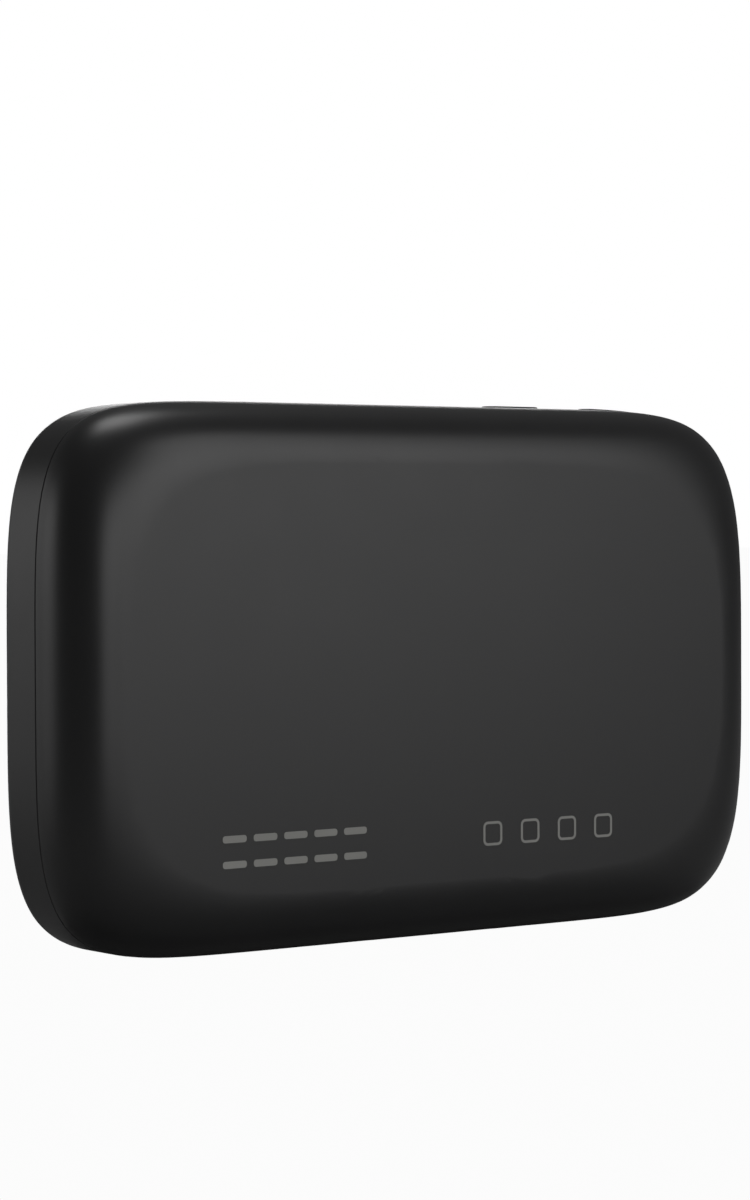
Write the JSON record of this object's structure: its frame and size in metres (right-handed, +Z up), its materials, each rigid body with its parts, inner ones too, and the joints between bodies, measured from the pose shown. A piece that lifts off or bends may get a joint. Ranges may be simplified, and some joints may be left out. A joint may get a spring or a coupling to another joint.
{
  "type": "mobile hotspot",
  "caption": "Pocket mobile hotspot with a rounded lift-off battery cover, side keys, small display, charging socket, removable battery and SIM card",
  "frame": {"origin": "middle of the bottom long edge it stands on, centred through the width and thickness", "axes": "+X along the width, +Y through the thickness towards the battery cover (the display faces -Y), +Z up as it stands"},
  "size_m": [0.107, 0.0158, 0.0663],
  "materials": {
    "case_plastic": "fine satin texture",
    "key_plastic": "satin",
    "frame_plastic": "satin",
    "window": "gloss, smoked",
    "adhesive": "matt film",
    "lcd_glass": "gloss",
    "lcd_housing": "satin white",
    "flex": "amber film",
    "connector_plastic": "ivory",
    "foam": "open foam",
    "board": "solder resist",
    "passives": "ceramic",
    "chip_plastic": "moulded",
    "shield_steel": "tin-plated",
    "switch_plastic": "moulded",
    "plunger_plastic": "white",
    "socket_steel": "bright",
    "screw_steel": "black oxide",
    "contact_gold": "gold-plated",
    "sim_plastic": "white card",
    "cell_can": "satin, wrapped",
    "battery_plastic": "moulded",
    "label_film": "printed film",
    "label_paper": "paper",
    "antenna_foil": "copper film"
  },
  "bodies": {
    "housing": {"amplifier_chip": "chip_plastic", "antenna_springs": "contact_gold", "baseband_chip": "chip_plastic", "baseband_shield": "shield_steel", "battery_contact_block": "switch_plastic", "battery_contact_springs": "contact_gold", "board_passives": "passives", "case_screws": "screw_steel", "display_window": "window", "front_shell": "case_plastic", "lcd_connector": "connector_plastic", "lcd_flex": "flex", "lcd_glass": "lcd_glass", "lcd_housing": "lcd_housing", "lcd_pad": "foam", "main_antenna": "antenna_foil", "main_board": "board", "memory_chip": "chip_plastic", "pairing_switch": "switch_plastic", "power_chip": "chip_plastic", "power_switch": "switch_plastic", "radio_chip": "chip_plastic", "radio_shield": "shield_steel", "rating_label": "label_paper", "rear_frame": "frame_plastic", "reset_switch": "switch_plastic", "second_antenna": "antenna_foil", "sim_contacts": "contact_gold", "sim_socket_base": "switch_plastic", "sim_socket_cover": "socket_steel", "usb_shell": "socket_steel", "usb_tongue": "switch_plastic", "wifi_antenna": "antenna_foil", "wifi_chip": "chip_plastic", "wifi_shield": "shield_steel", "window_adhesive": "adhesive"},
    "back_cover": {"back_cover": "case_plastic"},
    "battery": {"battery_pack": "cell_can", "battery_end_cap": "battery_plastic", "battery_terminals": "contact_gold", "battery_label": "label_film"},
    "power_key": {"power_key": "key_plastic", "power_plunger": "plunger_plastic"},
    "pairing_key": {"pairing_key": "key_plastic", "pairing_plunger": "plunger_plastic"},
    "reset_plunger": {"reset_plunger": "plunger_plastic"},
    "sim_card": {"sim_card": "sim_plastic", "sim_card_contacts": "contact_gold"}
  },
  "joints": [
    {"name": "battery_lift", "type": "slide", "parent": "housing", "child": "battery", "axis": [0, 1, 0], "range_m": [0, 0.02]},
    {"name": "cover_lift", "type": "slide", "parent": "housing", "child": "back_cover", "axis": [0, 1, 0], "range_m": [0, 0.04]},
    {"name": "power_press", "type": "slide", "parent": "housing", "child": "power_key", "axis": [0, 0, -1], "range_m": [0, 0.00035], "stiffness_N_per_m": 4000, "springref_m": -0.0002},
    {"name": "pairing_press", "type": "slide", "parent": "housing", "child": "pairing_key", "axis": [0, 0, -1], "range_m": [0, 0.00035], "stiffness_N_per_m": 4000, "springref_m": -0.0002},
    {"name": "reset_press", "type": "slide", "parent": "housing", "child": "reset_plunger", "axis": [0, -1, 0], "range_m": [0, 0.00025], "stiffness_N_per_m": 4000, "springref_m": -0.0002},
    {"name": "sim_slide", "type": "slide", "parent": "housing", "child": "sim_card", "axis": [0, 0, -1], "range_m": [0, 0.016]}
  ],
  "couplings": [
    {"joint": "cover_lift", "follows": "battery_lift", "ratio": 2}
  ]
}
